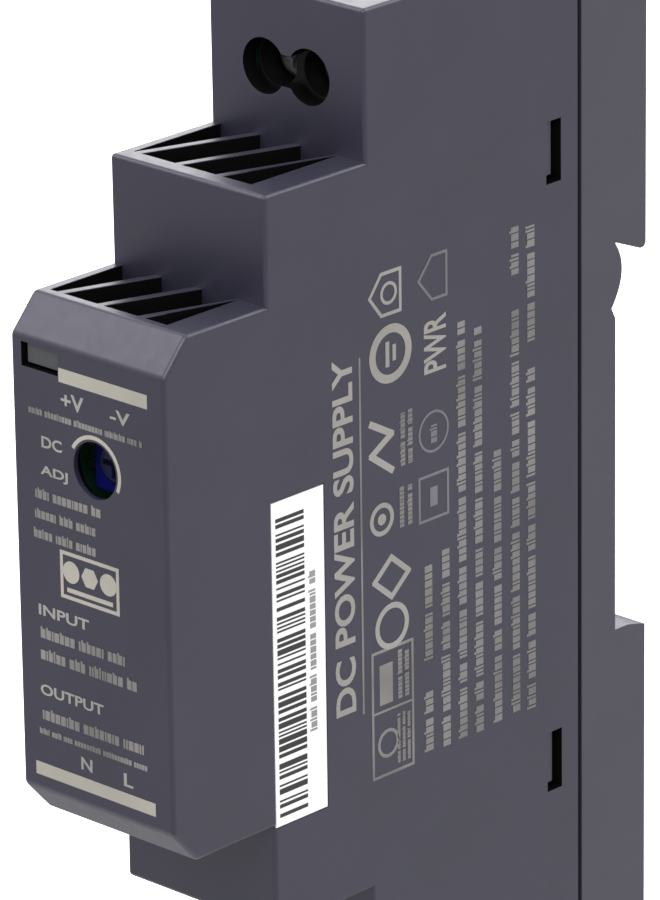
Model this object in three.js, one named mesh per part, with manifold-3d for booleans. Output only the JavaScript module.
// DIN rail power supply, one module wide, with its case, rail latch, terminals and circuit.
// Millimetres. +X is across the width, +Y points at the rail, +Z is up.
// The origin is the centre of the flat seat that rests on the rail's front.

import * as THREE from 'three';
import { mergeVertices } from 'three/addons/utils/BufferGeometryUtils.js';
import Module from 'manifold-3d';

const wasm = await Module();
wasm.setup();

// ---------------------------------------------------------------- driving dimensions

const HALF_WIDTH = 8.75;
const HALF_HEIGHT = 45;
const WALL = 1.5;
const EDGE_ROUND = 0.7;

const NOSE_Y = -54.5;
const MIDDLE_TIER_Y = -42.7;
const TERMINAL_TIER_Y = -30.9;
const NOSE_HALF_HEIGHT = 22.75;
const MIDDLE_HALF_HEIGHT = 32.1;
const CHAMFER_DEPTH = 2.7;
const CHAMFER_HEIGHT = 3.0;

const SEAT_Y = 0;
const CLAW_TIP_Y = 3.9;
const BASE_FRONT_Y = -4.4;
const HOUSING_REAR_Y = -4.9;
const UPPER_NOTCH_Z = 17.5;
const LOWER_CLAW_Z = -17.84;

const SNAP_SLOT = { y0: -8.85, y1: -7.0, z0: 24.8, z1: 30.3 };
const SPIGOT_FRONT_Y = -9.5;
const SPIGOT_CLEARANCE = 0.25;
const SPIGOT_WALL = 1.2;

const VENT = { left: -7.6, right: 5.7, noseSetback: 3.6, middleSetback: 1.7 };
const RIB = { width: 0.8, pitch: 4.6, firstX: -5.55, slope: 0.36, middleDepth: 6 };

const TRIMMER = { x: 0.69, z: 10.05, holeRadius: 2.45, rimThickness: 0.5, recessRadius: 3.2 };
const LABEL = { y0: -42.5, y1: -36.35, z0: -22.8, z1: 5.8, thickness: 0.12, sink: 0.01, gap: 0.1 };
const LED_WINDOW = { x0: -7.5, x1: -3.3, z0: 17.2, z1: 19.3 };

const POLE_X = 2.5;
const POLE_Z = 38.07;
const SCREW_HOLE_RADIUS = 2.4;
const SCREW_HOLE_WAIST = 1.35;
const WIRE_ENTRY = { halfX: 1.9, y0: -20.9, y1: -17.7 };

const SPRING = { radius: 1.35, wire: 0.22, turns: 6.5, z0: -38, z1: -26, y: 0.62 };

const PCB = { x0: -6.6, x1: -5.0, rearY: -10, inset: WALL + 1.0 };
const BOARD_FACE = PCB.x1 + 0.05;

// The board's parts. Each stands on the board's face and reaches top, along X.
const FUSE = { radius: 4.2, top: 2.8, y: -36, z: -25.4 };
const VARISTOR = { radius: 4.4, thickness: 3.5, x: 0.7, y: -24, z0: -29.6 };
const THERMISTOR = { radius: 3.4, thickness: 3.2, x: 0, y: -14.3, z0: -29.6 };
const Y_CAPACITOR = { radius: 3.4, thickness: 3.2, x: 0, y: -44, z0: 1.2 };
const DISC_LEAD = { radius: 0.35, spread: 2.2 };
const X_CAPACITOR = { top: 5.6, y0: -30.9, y1: -24.9, z0: -24.8, z1: -12 };
const BRIDGE = { top: -2.2, y0: -39.8, y1: -33, z0: -19.6, z1: -10.8 };
const FLANGE_THICKNESS = 0.8;
const CHOKE = {
  coreRadius: 2.4, boreRadius: 1.75, flangeRadius: 5, wireRadius: 4.6, top: 4.6, y: -18, z: -18.8,
};
const CHOKE_ROD = { radius: 1.6, x0: -4.9, top: 5.6 };
const INDUCTOR = {
  coreRadius: 1.8, boreRadius: 0.6, flangeRadius: 3.6, wireRadius: 3.3, top: 4.8, y: -27.4, z: 21.4,
};
const WIRE_GAP = 0.1;
const BULK_CAPACITOR = { radius: 5.75, z0: -19.3, z1: -0.6, x: 0.95, y: -46.5 };
const OUTPUT_CAPACITOR = { radius: 3.9, top: 6.5, y: -36.6, zs: [12.4, 21.0] };
const HEAT_SINK = { top: 6.2, y0: -22.4, y1: -21.2, z0: 7.5, z1: 24.5 };
const POWER_DEVICE = {
  x0: -1.6, bodyTop: 4.2, tabTop: 6.6, y0: -21.0, y1: -16.6, length: 10, legPitch: 2.54,
};
const RECTIFIER_Z0 = 9;
const TRANSISTOR_Z0 = -9.6;
const CHIP_LEG = { pitch: 1.27, width: 0.4, reach: 0.7, height: 0.7, standoff: 0.25 };
const OPTOCOUPLER = { height: 3.4, y0: -30.6, y1: -26.4, z0: 8.5, z1: 13.0 };
const FEEDBACK_CHIP = { height: 1.6, y0: -48.2, y1: -44.4, z0: 14.4, z1: 18.6 };
const CONTROLLER_CHIP = { height: 1.6, y0: -14.4, y1: -10.8, z0: -8.5, z1: -2.5 };
const SNUBBER = { radius: 1.2, x: -3.7, y: -13, z0: 2, z1: 8.5 };
const SHEET = { x0: 6.95, x1: 7.15, y0: -40, y1: -10.5, halfZ: 29.5 };
const LED = { top: -3.2, y0: -51.6, y1: -49.6, z0: 17.3, z1: 19.1 };

// ---------------------------------------------------------------- materials

function material(color, roughness, metalness = 0) {
  return new THREE.MeshStandardMaterial({ color, roughness, metalness });
}

const CASE_GREY = material(0x4a4a52, 0.62);
const BASE_GREY = material(0x525258, 0.6);
const LATCH_GREY = material(0x3f3f45, 0.6);
const TERMINAL_BLACK = material(0x1f2022, 0.55);
const STEEL = material(0xb9bcc0, 0.35, 1);
const BRASS = material(0xc9a24d, 0.35, 1);
const TINNED = material(0xc8c8c4, 0.3, 1);
const LABEL_WHITE = material(0xf4f4f0, 0.7);
const LENS_GREY = material(0x70757a, 0.3);
const LED_GREEN = material(0x9fd8a0, 0.4);
const TRIMMER_BLUE = material(0x1c2f9a, 0.4);
const ROTOR_WHITE = material(0xd8d6cc, 0.4);
const BOARD_GREEN = material(0x1f5a36, 0.5);
const EPOXY_BLACK = material(0x18181a, 0.5);
const FILM_YELLOW = material(0xd8b52c, 0.45);
const DISC_BLUE = material(0x2b62b8, 0.4);
const DISC_GREEN = material(0x35503a, 0.5);
const SLEEVE_BLACK = material(0x1b1d24, 0.35);
const FERRITE = material(0x3a3a3c, 0.5);
const COPPER = material(0xb06a35, 0.35, 1);
const TAPE_YELLOW = material(0xd7bd3c, 0.5);
const ALUMINIUM = material(0xb4b6b8, 0.4, 1);
const RESISTOR_BLUE = material(0x6fa0b8, 0.45);
const SHEET_WHITE = material(0xd9d9d2, 0.7);

// ---------------------------------------------------------------- solid helpers

function solidOf(geometry) {
  const bare = geometry.clone();
  bare.deleteAttribute('normal');
  bare.deleteAttribute('uv');
  const merged = mergeVertices(bare, 1e-4);
  const vertProperties = new Float32Array(merged.attributes.position.array);
  const triVerts = new Uint32Array(merged.index.array);
  return new wasm.Manifold(new wasm.Mesh({ numProp: 3, vertProperties, triVerts }));
}

function geometryOf(solid) {
  const mesh = solid.getMesh();
  const geometry = new THREE.BufferGeometry();
  geometry.setAttribute('position', new THREE.BufferAttribute(mesh.vertProperties, 3));
  geometry.setIndex(new THREE.BufferAttribute(mesh.triVerts, 1));
  geometry.computeVertexNormals();
  return geometry;
}

function join(...geometries) {
  return geometryOf(geometries.map(solidOf).reduce((whole, piece) => whole.add(piece)));
}

function cut(body, ...cutters) {
  return geometryOf(cutters.map(solidOf).reduce((whole, cutter) => whole.subtract(cutter), solidOf(body)));
}

function box(x0, x1, y0, y1, z0, z1) {
  const geometry = new THREE.BoxGeometry(x1 - x0, y1 - y0, z1 - z0);
  return geometry.translate((x0 + x1) / 2, (y0 + y1) / 2, (z0 + z1) / 2);
}

// A cylinder along a row axis, from start to end on that axis; a and b are its other two
// coordinates in X, Y, Z order.
function cylinder(axis, radius, start, end, a, b, sides = 16) {
  const geometry = new THREE.CylinderGeometry(radius, radius, end - start, sides);
  const middle = (start + end) / 2;
  if (axis === 'x') {
    return geometry.rotateZ(-Math.PI / 2).translate(middle, a, b);
  }
  if (axis === 'y') {
    return geometry.translate(a, middle, b);
  }
  return geometry.rotateX(Math.PI / 2).translate(a, b, middle);
}

// A turned shape: points are [radius, distance along the axis] and close on themselves or
// start and end on the axis.
function turned(axis, points, a, b, sides = 16) {
  const geometry = new THREE.LatheGeometry(points.map(([r, h]) => new THREE.Vector2(r, h)), sides);
  if (axis === 'x') {
    return geometry.rotateZ(-Math.PI / 2).translate(0, a, b);
  }
  if (axis === 'y') {
    return geometry.translate(a, 0, b);
  }
  return geometry.rotateX(Math.PI / 2).translate(a, b, 0);
}

function ring(axis, inner, outer, start, end, a, b, sides = 16) {
  const points = [[inner, start], [outer, start], [outer, end], [inner, end], [inner, start]];
  return turned(axis, points, a, b, sides);
}

// A side outline of [y, z] points carried across the width.
function acrossWidth(outline, x0, x1, round = 0) {
  const shape = new THREE.Shape(outline.map(([y, z]) => new THREE.Vector2(y, z)));
  const geometry = new THREE.ExtrudeGeometry(shape, {
    depth: x1 - x0 - 2 * round,
    bevelEnabled: round > 0,
    bevelThickness: round,
    bevelSize: round,
    bevelOffset: -round,
    bevelSegments: 2,
  });
  const axes = new THREE.Matrix4().makeBasis(
    new THREE.Vector3(0, 1, 0),
    new THREE.Vector3(0, 0, 1),
    new THREE.Vector3(1, 0, 0),
  );
  return geometry.applyMatrix4(axes).translate(x0 + round, 0, 0);
}

// The upper half of an outline, from the top down, followed by its mirror image.
function mirroredOutline(half) {
  const lower = half.map(([y, z]) => [y, -z]).reverse();
  return [...half, ...lower];
}

const model = new THREE.Group();

function place(name, geometry, finish) {
  const mesh = new THREE.Mesh(geometry, finish);
  mesh.name = name;
  model.add(mesh);
  return mesh;
}

// ---------------------------------------------------------------- front housing

function steppedOutline(inset, rearY) {
  const slope = Math.hypot(CHAMFER_DEPTH, CHAMFER_HEIGHT);
  const frontCorner = inset * (slope - CHAMFER_HEIGHT) / CHAMFER_DEPTH;
  const topCorner = inset * (slope - CHAMFER_DEPTH) / CHAMFER_HEIGHT;
  return mirroredOutline([
    [rearY, HALF_HEIGHT - inset],
    [TERMINAL_TIER_Y + inset, HALF_HEIGHT - inset],
    [TERMINAL_TIER_Y + inset, MIDDLE_HALF_HEIGHT - inset],
    [MIDDLE_TIER_Y + inset, MIDDLE_HALF_HEIGHT - inset],
    [MIDDLE_TIER_Y + inset, NOSE_HALF_HEIGHT - inset],
    [NOSE_Y + CHAMFER_DEPTH + topCorner, NOSE_HALF_HEIGHT - inset],
    [NOSE_Y + inset, NOSE_HALF_HEIGHT - CHAMFER_HEIGHT - frontCorner],
  ]);
}

// One shelf's air opening, with the slanting ribs left standing in it.
function ventOpening(tierY, nextTierY, setback, shelfZ) {
  const z0 = Math.min(shelfZ, shelfZ - Math.sign(shelfZ) * (WALL + 0.2)) - 0.1;
  const z1 = Math.max(shelfZ, shelfZ - Math.sign(shelfZ) * (WALL + 0.2)) + 0.1;
  let opening = solidOf(box(VENT.left, VENT.right, tierY + setback, nextTierY, z0, z1));
  for (let rib = 0; rib < 3; rib += 1) {
    const middleX = RIB.firstX + rib * RIB.pitch;
    const depth = nextTierY - tierY;
    const frontX = middleX - RIB.slope * RIB.middleDepth;
    const rearX = middleX + RIB.slope * (depth - RIB.middleDepth);
    const blade = new THREE.Shape([
      new THREE.Vector2(frontX - RIB.width / 2, tierY),
      new THREE.Vector2(frontX + RIB.width / 2, tierY),
      new THREE.Vector2(rearX + RIB.width / 2, nextTierY + 0.1),
      new THREE.Vector2(rearX - RIB.width / 2, nextTierY + 0.1),
    ]);
    const bar = new THREE.ExtrudeGeometry(blade, { depth: z1 - z0 + 2, bevelEnabled: false });
    opening = opening.subtract(solidOf(bar.translate(0, 0, z0 - 1)));
  }
  return geometryOf(opening);
}

function frontHousing() {
  const shell = acrossWidth(
    steppedOutline(0, HOUSING_REAR_Y + 2 * EDGE_ROUND), -HALF_WIDTH, HALF_WIDTH, EDGE_ROUND);
  const rearTrim = box(-10, 10, HOUSING_REAR_Y, 0, -HALF_HEIGHT - 1, HALF_HEIGHT + 1);
  const hollow = acrossWidth(steppedOutline(WALL, HOUSING_REAR_Y + 1), WALL - HALF_WIDTH, HALF_WIDTH - WALL);
  const cutters = [rearTrim, hollow];
  for (const side of [-1, 1]) {
    const middle = side * NOSE_HALF_HEIGHT;
    cutters.push(ventOpening(NOSE_Y, MIDDLE_TIER_Y, VENT.noseSetback, middle));
    const upper = side * MIDDLE_HALF_HEIGHT;
    cutters.push(ventOpening(MIDDLE_TIER_Y, TERMINAL_TIER_Y, VENT.middleSetback, upper));
    const through = [TERMINAL_TIER_Y - 1, TERMINAL_TIER_Y + WALL + 0.5];
    cutters.push(box(
      -POLE_X, POLE_X, ...through,
      side * POLE_Z - SCREW_HOLE_WAIST, side * POLE_Z + SCREW_HOLE_WAIST));
    for (const pole of [-POLE_X, POLE_X]) {
      cutters.push(cylinder('y', SCREW_HOLE_RADIUS, ...through, pole, side * POLE_Z, 20));
      const wall = [side * (HALF_HEIGHT + 1), side * (HALF_HEIGHT - WALL - 0.5)].sort((a, b) => a - b);
      cutters.push(box(
        pole - WIRE_ENTRY.halfX, pole + WIRE_ENTRY.halfX, WIRE_ENTRY.y0, WIRE_ENTRY.y1, ...wall));
    }
    for (const end of [-1, 1]) {
      const x = [side * (HALF_WIDTH + 1), side * (HALF_WIDTH - WALL - 0.5)].sort((a, b) => a - b);
      const z = [end * SNAP_SLOT.z0, end * SNAP_SLOT.z1].sort((a, b) => a - b);
      cutters.push(box(...x, SNAP_SLOT.y0, SNAP_SLOT.y1, ...z));
    }
  }
  cutters.push(box(
    HALF_WIDTH - LABEL.thickness - 2 * LABEL.sink, HALF_WIDTH + 1, LABEL.y0 - LABEL.gap, LABEL.y1 + LABEL.gap,
    LABEL.z0 - LABEL.gap, LABEL.z1 + LABEL.gap));
  const noseWall = [NOSE_Y - 1, NOSE_Y + WALL + 0.5];
  cutters.push(cylinder('y', TRIMMER.holeRadius, ...noseWall, TRIMMER.x, TRIMMER.z, 24));
  cutters.push(cylinder(
    'y', TRIMMER.recessRadius, NOSE_Y + TRIMMER.rimThickness, noseWall[1], TRIMMER.x, TRIMMER.z, 24));
  cutters.push(box(LED_WINDOW.x0, LED_WINDOW.x1, ...noseWall, LED_WINDOW.z0, LED_WINDOW.z1));
  return cut(shell, ...cutters);
}

// ---------------------------------------------------------------- rear base

// The rounded bump under the upper claw: a circular arc through its two ends and its crest.
function bumpArc() {
  const start = new THREE.Vector2(0, UPPER_NOTCH_Z - 0.1);
  const crest = new THREE.Vector2(0.8, 14.7);
  const end = new THREE.Vector2(-0.5, 11.7);
  const points = [];
  const curve = new THREE.QuadraticBezierCurve(
    start, crest.clone().multiplyScalar(2).sub(start.clone().add(end).multiplyScalar(0.5)), end);
  for (const point of curve.getPoints(6)) {
    points.push([point.x, point.y]);
  }
  return points;
}

function baseOutline() {
  return [
    [BASE_FRONT_Y, HALF_HEIGHT],
    [BASE_FRONT_Y, -HALF_HEIGHT],
    [CLAW_TIP_Y, -HALF_HEIGHT],
    [CLAW_TIP_Y, LOWER_CLAW_Z - 0.56],
    [1.7, LOWER_CLAW_Z],
    [SEAT_Y, LOWER_CLAW_Z],
    [SEAT_Y, 10.7],
    ...bumpArc().reverse(),
    [SEAT_Y, UPPER_NOTCH_Z],
    [3.2, 16.2],
    [3.7, 16.25],
    [CLAW_TIP_Y, 16.6],
    [CLAW_TIP_Y, HALF_HEIGHT],
  ];
}

const LATCH_GUIDE = { halfX: 5.0, floorY: -0.6, lipY: 1.8, mouthHalfX: 3.8 };
const LATCH_POST = { halfX: 1.6, y0: -1.0, y1: 1.4, z0: -41.4, z1: -38.1 };

function rearBase() {
  const body = acrossWidth(baseOutline(), -HALF_WIDTH, HALF_WIDTH);
  const spigotX = HALF_WIDTH - WALL - SPIGOT_CLEARANCE;
  const spigotZ = HALF_HEIGHT - WALL - SPIGOT_CLEARANCE;
  const spigot = box(-spigotX, spigotX, SPIGOT_FRONT_Y, BASE_FRONT_Y + 0.5, -spigotZ, spigotZ);
  const tabs = [];
  for (const side of [-1, 1]) {
    for (const end of [-1, 1]) {
      const x = [side * (spigotX - 0.5), side * (HALF_WIDTH - 0.55)].sort((a, b) => a - b);
      const low = end > 0 ? SNAP_SLOT.z0 + 0.55 : -SNAP_SLOT.z1 + 0.55;
      const high = end > 0 ? SNAP_SLOT.z1 - 0.1 : -SNAP_SLOT.z0 - 0.1;
      tabs.push(box(...x, SNAP_SLOT.y0 + 0.1, SNAP_SLOT.y1 - 0.65, low, high));
    }
  }
  const hollow = box(
    SPIGOT_WALL - spigotX, spigotX - SPIGOT_WALL, SPIGOT_FRONT_Y - 1, SEAT_Y - 2.2,
    SPIGOT_WALL - spigotZ, spigotZ - SPIGOT_WALL);
  const clawHollow = box(-6.6, 6.6, SEAT_Y - 2.5, CLAW_TIP_Y - 1.5, UPPER_NOTCH_Z + 1.5, HALF_HEIGHT - 3);
  const guide = box(
    -LATCH_GUIDE.halfX, LATCH_GUIDE.halfX, LATCH_GUIDE.floorY, LATCH_GUIDE.lipY,
    -HALF_HEIGHT - 1, LOWER_CLAW_Z - 0.2);
  const mouth = box(
    -LATCH_GUIDE.mouthHalfX, LATCH_GUIDE.mouthHalfX, SEAT_Y + 0.6, CLAW_TIP_Y + 1,
    -HALF_HEIGHT - 1, LOWER_CLAW_Z + 1);
  const post = box(
    -LATCH_POST.halfX, LATCH_POST.halfX, LATCH_POST.y0, LATCH_POST.y1, LATCH_POST.z0, LATCH_POST.z1);
  return join(cut(join(body, spigot, ...tabs), hollow, clawHollow, guide, mouth), post);
}

// ---------------------------------------------------------------- rail latch and its spring

function railLatch() {
  const gap = 0.2;
  const plate = box(
    gap - LATCH_GUIDE.halfX, LATCH_GUIDE.halfX - gap,
    LATCH_GUIDE.floorY + gap, LATCH_GUIDE.lipY - gap, -44.8, LOWER_CLAW_Z - 0.8);
  const neckX = LATCH_GUIDE.mouthHalfX - gap;
  const tooth = acrossWidth([
    [1.2, -15.9], [1.2, -19.5], [1.3, -44.8], [3.8, -44.8], [3.8, -17.9], [3.0, -16.5],
  ].reverse(), -neckX, neckX);
  const window = box(-1.9, 1.9, LATCH_GUIDE.floorY - 1, CLAW_TIP_Y - 1.4, -41.6, SPRING.z1 + 0.1);
  const pryHole = box(-1.6, 1.6, 0.4, CLAW_TIP_Y + 1, -44.0, -42.6);
  return cut(join(plate, tooth), window, pryHole);
}

class Helix extends THREE.Curve {
  getPoint(t, target = new THREE.Vector3()) {
    const angle = 2 * Math.PI * SPRING.turns * t;
    const length = SPRING.z1 - SPRING.z0 - 2 * SPRING.wire - 0.2;
    return target.set(
      SPRING.radius * Math.cos(angle),
      SPRING.y + SPRING.radius * 0.68 * Math.sin(angle),
      SPRING.z0 + SPRING.wire + 0.1 + length * t);
  }
}

function latchSpring() {
  const section = new THREE.Shape();
  section.absarc(0, 0, SPRING.wire, 0, 2 * Math.PI, false);
  return new THREE.ExtrudeGeometry(section, {
    steps: SPRING.turns * 10,
    curveSegments: 3,
    extrudePath: new Helix(),
    bevelEnabled: false,
  });
}

// ---------------------------------------------------------------- terminals

const BLOCK = { x: 4.85, y0: TERMINAL_TIER_Y + WALL + 0.2, y1: -15.3, z0: 33, z1: 43.25 };
const CHAMBER = { halfX: 2.05, y0: -25.4, y1: -16.3, z0: 35.3 };
const CAGE = { halfX: 1.9, y0: -22.8, nutY: -21.2, rearY: -17.4, y1: -16.6, z0: 35.6, z1: 40.6 };
const SCREW = { headRadius: 1.9, headY0: -27.3, headY1: -26.0, shankRadius: 1.2, tipY: -21.15 };
const CONTACT = { halfX: 1.1, y0: -21.0, y1: -20.2, tipZ: 39.5 };

// The block's face stands just behind the housing's front, so that each screw lies in a closed well.
function terminalBlock(side) {
  const z = (low, high) => [side * low, side * high].sort((a, b) => a - b);
  const body = box(-BLOCK.x, BLOCK.x, BLOCK.y0, BLOCK.y1, ...z(BLOCK.z0, BLOCK.z1));
  const cutters = [];
  for (const pole of [-POLE_X, POLE_X]) {
    cutters.push(cylinder('y', SCREW.headRadius + 0.15, BLOCK.y0 - 1, CHAMBER.y0 - 0.5, pole, side * POLE_Z));
    cutters.push(cylinder('y', SCREW.shankRadius + 0.25, BLOCK.y0, CHAMBER.y0 + 1, pole, side * POLE_Z, 12));
    cutters.push(box(
      pole - CHAMBER.halfX, pole + CHAMBER.halfX, CHAMBER.y0, CHAMBER.y1,
      ...z(CHAMBER.z0, BLOCK.z1 + 1)));
    cutters.push(box(
      pole - CONTACT.halfX - 0.1, pole + CONTACT.halfX + 0.1, CONTACT.y0 - 0.1, CONTACT.y1 + 0.1,
      ...z(BLOCK.z0 - 1, CHAMBER.z0 + 1)));
  }
  return cut(body, ...cutters);
}

function clampCage(pole, side) {
  const z = (low, high) => [side * low, side * high].sort((a, b) => a - b);
  const body = box(pole - CAGE.halfX, pole + CAGE.halfX, CAGE.y0, CAGE.y1, ...z(CAGE.z0, CAGE.z1));
  const throat = box(
    pole - CAGE.halfX + 0.6, pole + CAGE.halfX - 0.6, CAGE.nutY, CAGE.rearY,
    ...z(CAGE.z0 - 1, CAGE.z1 + 1));
  const thread = cylinder(
    'y', SCREW.shankRadius + 0.12, CAGE.y0 - 1, CAGE.nutY + 0.5, pole, side * POLE_Z, 12);
  return cut(body, throat, thread);
}

function terminalScrew(pole, side) {
  const head = cylinder('y', SCREW.headRadius, SCREW.headY0, SCREW.headY1, pole, side * POLE_Z);
  const shank = cylinder('y', SCREW.shankRadius, SCREW.headY0 + 0.5, SCREW.tipY, pole, side * POLE_Z, 12);
  const slot = (halfX, halfZ) => box(
    pole - halfX, pole + halfX, SCREW.headY0 - 1, SCREW.headY0 + 0.75,
    side * POLE_Z - halfZ, side * POLE_Z + halfZ);
  return cut(join(head, shank), slot(1.5, 0.25), slot(0.25, 1.1));
}

// A bar that stands in the clamp's throat, and a foot that runs to the board.
function contactTab(pole, side) {
  const z = (low, high) => [side * low, side * high].sort((a, b) => a - b);
  const footZ = pole < 0 ? 31.8 : 30.2;
  const bar = box(
    pole - CONTACT.halfX, pole + CONTACT.halfX, CONTACT.y0, CONTACT.y1, ...z(footZ, CONTACT.tipZ));
  const foot = box(BOARD_FACE, pole + CONTACT.halfX, CONTACT.y0, CONTACT.y1, ...z(footZ, footZ + 0.8));
  return join(bar, foot);
}

// ---------------------------------------------------------------- circuit board and its parts

function mainBoard() {
  return acrossWidth(steppedOutline(PCB.inset, PCB.rearY), PCB.x0, PCB.x1);
}

function onBoard(part) {
  return box(BOARD_FACE, part.top, part.y0, part.y1, part.z0, part.z1);
}

function spool({ coreRadius, boreRadius, flangeRadius, top, y, z }) {
  const inner = BOARD_FACE + FLANGE_THICKNESS;
  const outer = top - FLANGE_THICKNESS;
  return turned('x', [
    [boreRadius, BOARD_FACE], [flangeRadius, BOARD_FACE], [flangeRadius, inner],
    [coreRadius, inner], [coreRadius, outer], [flangeRadius, outer],
    [flangeRadius, top], [boreRadius, top], [boreRadius, BOARD_FACE],
  ], y, z);
}

// The wire wound between a spool's flanges.
function winding({ coreRadius, wireRadius, top, y, z }) {
  const start = BOARD_FACE + FLANGE_THICKNESS + WIRE_GAP;
  const end = top - FLANGE_THICKNESS - WIRE_GAP;
  return ring('x', coreRadius + WIRE_GAP, wireRadius, start, end, y, z);
}

// A round capacitor with a rounded crimp near its sealed end.
function canCapacitor(axis, radius, start, end, a, b) {
  return turned(axis, [
    [0, start], [radius, start], [radius, start + 1.0], [radius - 0.35, start + 1.5],
    [radius, start + 2.0], [radius, end - 0.3], [radius - 0.3, end], [0, end],
  ], a, b, 20);
}

// A disc standing on two wires that reach the board.
function discPart({ radius, thickness, x, y, z0 }) {
  const disc = cylinder('z', radius, z0, z0 + thickness, x, y, 20);
  const wires = [-DISC_LEAD.spread, DISC_LEAD.spread].map((offset) => cylinder(
    'x', DISC_LEAD.radius, BOARD_FACE, x - radius / 2, y + offset, z0 + thickness / 2, 8));
  return join(disc, ...wires);
}

// A power device with its three legs to the board and its tab beyond the body.
function powerDevice(z0) {
  const { x0, bodyTop, tabTop, y0, y1, length, legPitch } = POWER_DEVICE;
  const middle = z0 + length / 2;
  const body = box(x0, bodyTop, y0 + 0.6, y1, z0, z0 + length);
  const tab = box(x0, tabTop, y0, y0 + 1.0, z0, z0 + length);
  const legs = [-legPitch, 0, legPitch].map((offset) => box(
    BOARD_FACE, x0 + 0.4, y0 + 1.6, y0 + 2.2, middle + offset - 0.4, middle + offset + 0.4));
  const bolt = cylinder('y', 1.7, y0 - 1, y0 + 2, tabTop - 1.3, middle, 12);
  return cut(join(body, tab, ...legs), bolt);
}

function surfaceChip({ height, y0, y1, z0, z1 }) {
  const body = box(BOARD_FACE + CHIP_LEG.standoff, BOARD_FACE + height, y0, y1, z0, z1);
  const legs = [];
  for (let z = z0 + 0.5; z < z1 - CHIP_LEG.width; z += CHIP_LEG.pitch) {
    legs.push(box(
      BOARD_FACE, BOARD_FACE + CHIP_LEG.height, y0 - CHIP_LEG.reach, y1 + CHIP_LEG.reach,
      z, z + CHIP_LEG.width));
  }
  return join(body, ...legs);
}

// The transformer is built about its middle. Its core is a frame with three legs, and the
// bobbin and the winding go round the middle leg.
const TRANSFORMER = { x: 0.8, y: -31, z: -1 };

function transformerBlock(halfX, halfY, halfZ, offsetY = 0) {
  const y = TRANSFORMER.y + offsetY;
  return box(
    TRANSFORMER.x - halfX, TRANSFORMER.x + halfX, y - halfY, y + halfY,
    TRANSFORMER.z - halfZ, TRANSFORMER.z + halfZ);
}

function transformerCore() {
  const windowOffset = 3.95;
  const windows = [-windowOffset, windowOffset].map((offset) => transformerBlock(4, 1.85, 4.8, offset));
  return cut(transformerBlock(2.5, 8, 7), ...windows);
}

function transformerBobbin() {
  const tube = transformerBlock(3.4, 2.9, 4.6);
  const flangeHeight = 0.7;
  const flanged = cut(transformerBlock(5.5, 5.6, 4.6), transformerBlock(6, 6, 4.6 - flangeHeight));
  const legHole = transformerBlock(2.65, 2.25, 6);
  const pinHalf = 0.3;
  const z0 = TRANSFORMER.z - 4.6;
  const pins = [-4.5, 0, 4.5].map((offset) => box(
    BOARD_FACE, TRANSFORMER.x - 5.1, TRANSFORMER.y + offset - pinHalf, TRANSFORMER.y + offset + pinHalf,
    z0, z0 + 2 * pinHalf));
  return cut(join(flanged, tube, ...pins), legHole);
}

function transformerWinding() {
  return cut(transformerBlock(5.1, 5.4, 3.8), transformerBlock(3.5, 3, 5));
}

const TRIMMER_CASE = { half: 3.1, y0: -51.6, y1: -47.4, socketRadius: 1.75, socketY: -50.9 };
const TRIMMER_PIN = { half: 0.3, pitch: 2, y0: -49.8, y1: -49.2 };
const ROTOR = { radius: 1.6, y0: -52.4, y1: -51.05, slotReach: 1.3, slotHalf: 0.25, slotY: -51.8 };

function trimmerBody() {
  const { half, y0, y1, socketRadius, socketY } = TRIMMER_CASE;
  const body = box(TRIMMER.x - half, TRIMMER.x + half, y0, y1, TRIMMER.z - half, TRIMMER.z + half);
  const pins = [-1, 0, 1].map((step) => {
    const z = TRIMMER.z + step * TRIMMER_PIN.pitch;
    return box(
      BOARD_FACE, TRIMMER.x - half + 0.1, TRIMMER_PIN.y0, TRIMMER_PIN.y1,
      z - TRIMMER_PIN.half, z + TRIMMER_PIN.half);
  });
  const socket = cylinder('y', socketRadius, y0 - 0.4, socketY, TRIMMER.x, TRIMMER.z, 20);
  return cut(join(body, ...pins), socket);
}

function trimmerRotor() {
  const disc = cylinder('y', ROTOR.radius, ROTOR.y0, ROTOR.y1, TRIMMER.x, TRIMMER.z, 20);
  const slot = (halfX, halfZ) => box(
    TRIMMER.x - halfX, TRIMMER.x + halfX, ROTOR.y0 - 1, ROTOR.slotY,
    TRIMMER.z - halfZ, TRIMMER.z + halfZ);
  return cut(disc, slot(ROTOR.slotReach, ROTOR.slotHalf), slot(ROTOR.slotHalf, ROTOR.slotReach));
}

function ledWindow() {
  const gap = 0.15;
  const face = box(
    LED_WINDOW.x0 + 3 * gap, LED_WINDOW.x1 - gap, NOSE_Y + 0.35, NOSE_Y + WALL + 0.5,
    LED_WINDOW.z0 + 2 * gap, LED_WINDOW.z1 - gap);
  const flange = box(
    LED_WINDOW.x0 + 0.5, LED_WINDOW.x1 + 0.4, NOSE_Y + WALL + 0.1, NOSE_Y + WALL + 0.6,
    LED_WINDOW.z0 - 0.5, LED_WINDOW.z1);
  return join(face, flange);
}

// ---------------------------------------------------------------- assembly

place('front_housing', frontHousing(), CASE_GREY);
place('rear_base', rearBase(), BASE_GREY);
place('rail_latch', railLatch(), LATCH_GREY);
place('latch_spring', latchSpring(), STEEL);
place('barcode_label', box(
  HALF_WIDTH - LABEL.thickness - LABEL.sink, HALF_WIDTH - LABEL.sink,
  LABEL.y0, LABEL.y1, LABEL.z0, LABEL.z1), LABEL_WHITE);
place('led_window', ledWindow(), LENS_GREY);
place('power_led', onBoard(LED), LED_GREEN);
place('trimmer_body', trimmerBody(), TRIMMER_BLUE);
place('trimmer_rotor', trimmerRotor(), ROTOR_WHITE);

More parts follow.
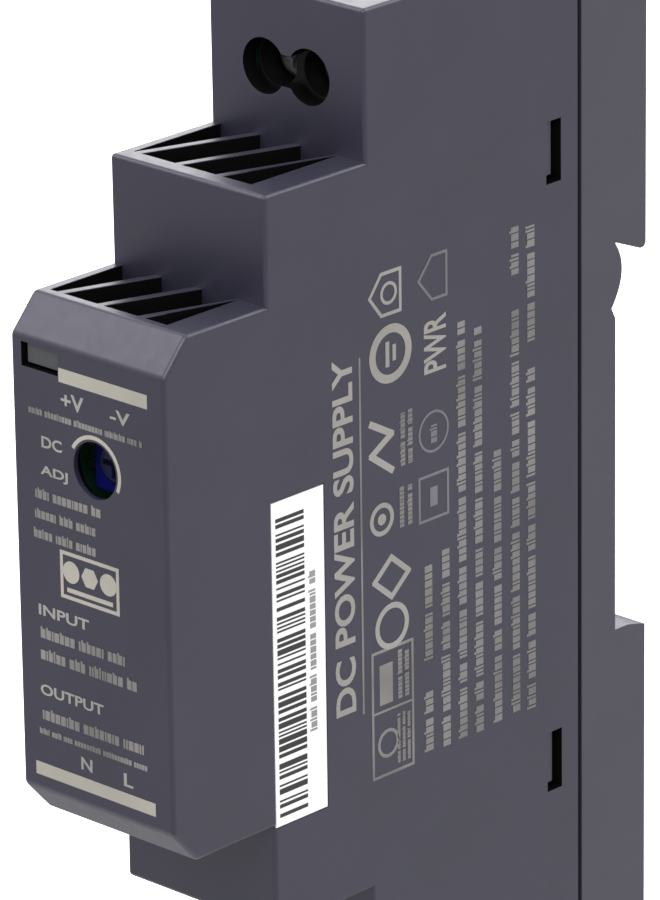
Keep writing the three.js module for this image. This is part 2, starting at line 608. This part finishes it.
for (const [end, side] of [['output', 1], ['input', -1]]) {
  place(`${end}_terminal_block`, terminalBlock(side), TERMINAL_BLACK);
  for (const [number, pole] of [[1, -POLE_X], [2, POLE_X]]) {
    place(`${end}_terminal_screw_${number}`, terminalScrew(pole, side), STEEL);
    place(`${end}_clamp_cage_${number}`, clampCage(pole, side), BRASS);
    place(`${end}_contact_tab_${number}`, contactTab(pole, side), TINNED);
  }
}

place('main_board', mainBoard(), BOARD_GREEN);
place('insulation_sheet', box(
  SHEET.x0, SHEET.x1, SHEET.y0, SHEET.y1, -SHEET.halfZ, SHEET.halfZ), SHEET_WHITE);
place('fuse', cylinder('x', FUSE.radius, BOARD_FACE, FUSE.top, FUSE.y, FUSE.z), EPOXY_BLACK);
place('varistor', discPart(VARISTOR), DISC_BLUE);
place('inrush_thermistor', discPart(THERMISTOR), DISC_GREEN);
place('x_capacitor', onBoard(X_CAPACITOR), FILM_YELLOW);
place('choke_bobbin', spool(CHOKE), TERMINAL_BLACK);
place('choke_winding', winding(CHOKE), COPPER);
place('choke_core', cylinder('x', CHOKE_ROD.radius, CHOKE_ROD.x0, CHOKE_ROD.top, CHOKE.y, CHOKE.z), FERRITE);
place('bridge_rectifier', onBoard(BRIDGE), EPOXY_BLACK);
place('bulk_capacitor', canCapacitor(
  'z', BULK_CAPACITOR.radius, BULK_CAPACITOR.z0, BULK_CAPACITOR.z1,
  BULK_CAPACITOR.x, BULK_CAPACITOR.y), SLEEVE_BLACK);
place('transformer_core', transformerCore(), FERRITE);
place('transformer_bobbin', transformerBobbin(), TERMINAL_BLACK);
place('transformer_winding', transformerWinding(), TAPE_YELLOW);
place('heat_sink', onBoard(HEAT_SINK), ALUMINIUM);
place('output_rectifier', powerDevice(RECTIFIER_Z0), EPOXY_BLACK);
place('switching_transistor', powerDevice(TRANSISTOR_Z0), EPOXY_BLACK);
OUTPUT_CAPACITOR.zs.forEach((z, index) => {
  place(`output_capacitor_${index + 1}`, canCapacitor(
    'x', OUTPUT_CAPACITOR.radius, BOARD_FACE, OUTPUT_CAPACITOR.top, OUTPUT_CAPACITOR.y, z), SLEEVE_BLACK);
});
place('output_inductor_core', spool(INDUCTOR), FERRITE);
place('output_inductor_winding', winding(INDUCTOR), COPPER);
place('y_capacitor', discPart(Y_CAPACITOR), DISC_BLUE);
place('optocoupler', surfaceChip(OPTOCOUPLER), EPOXY_BLACK);
place('feedback_chip', surfaceChip(FEEDBACK_CHIP), EPOXY_BLACK);
place('controller_chip', surfaceChip(CONTROLLER_CHIP), EPOXY_BLACK);
place('snubber_resistor', cylinder(
  'z', SNUBBER.radius, SNUBBER.z0, SNUBBER.z1, SNUBBER.x, SNUBBER.y, 12), RESISTOR_BLUE);

export default model;
